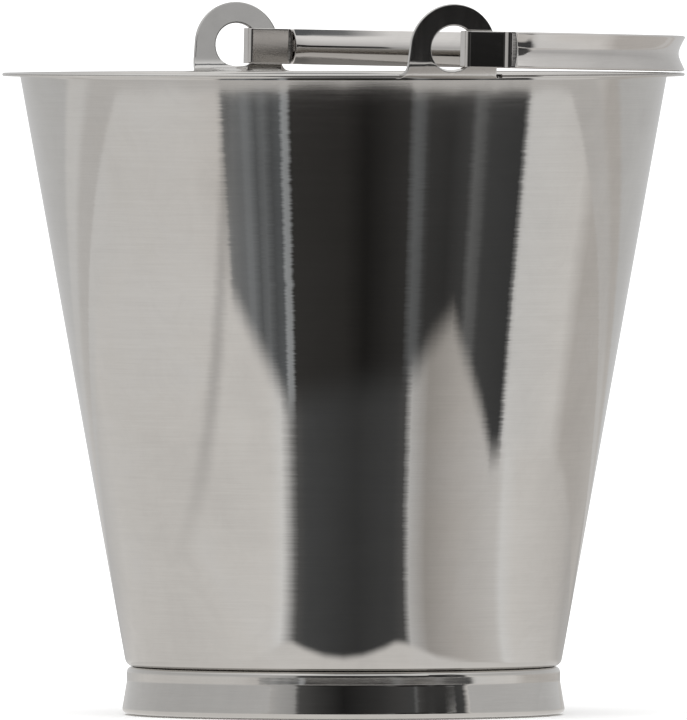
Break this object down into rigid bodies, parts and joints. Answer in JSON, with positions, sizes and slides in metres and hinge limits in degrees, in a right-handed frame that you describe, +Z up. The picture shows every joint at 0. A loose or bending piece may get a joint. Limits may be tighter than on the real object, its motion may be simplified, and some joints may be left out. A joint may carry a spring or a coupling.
{
  "type": "milk pail",
  "caption": "Tapered stainless steel milk pail with a flat rim, a flared base ring and a channel-section bail that folds down on the rim.",
  "frame": {"origin": "centre of the base ring's underside, on the floor", "axes": "+Z up, +Y through the rear ear, +X towards the side the bail lies folded on"},
  "size_m": [0.3049, 0.3188, 0.3172],
  "materials": {
    "pail_body": "fine circumferential brushing over a bright stainless steel surface",
    "base_ring": "bright stainless steel, finely brushed round the ring",
    "base_ring_welds": "dull, slightly heat-tinted spot welds",
    "ear_front": "brushed stainless steel with polished edges",
    "ear_rear": "brushed stainless steel with polished edges",
    "ear_welds": "dull, slightly heat-tinted weld bead",
    "handle": "bright stainless steel, finely brushed along the strip"
  },
  "bodies": {
    "pail": {"pail_body": "pail_body", "base_ring": "base_ring", "base_ring_welds": "base_ring_welds", "ear_front": "ear_front", "ear_rear": "ear_rear", "ear_welds": "ear_welds"},
    "handle": {"handle": "handle"}
  },
  "joints": [
    {"name": "handle_hinge", "type": "hinge", "parent": "pail", "child": "handle", "pos_m": [0, 0, 0.2974], "axis": [0, -1, 0], "range_deg": [0, 182.33]}
  ]
}
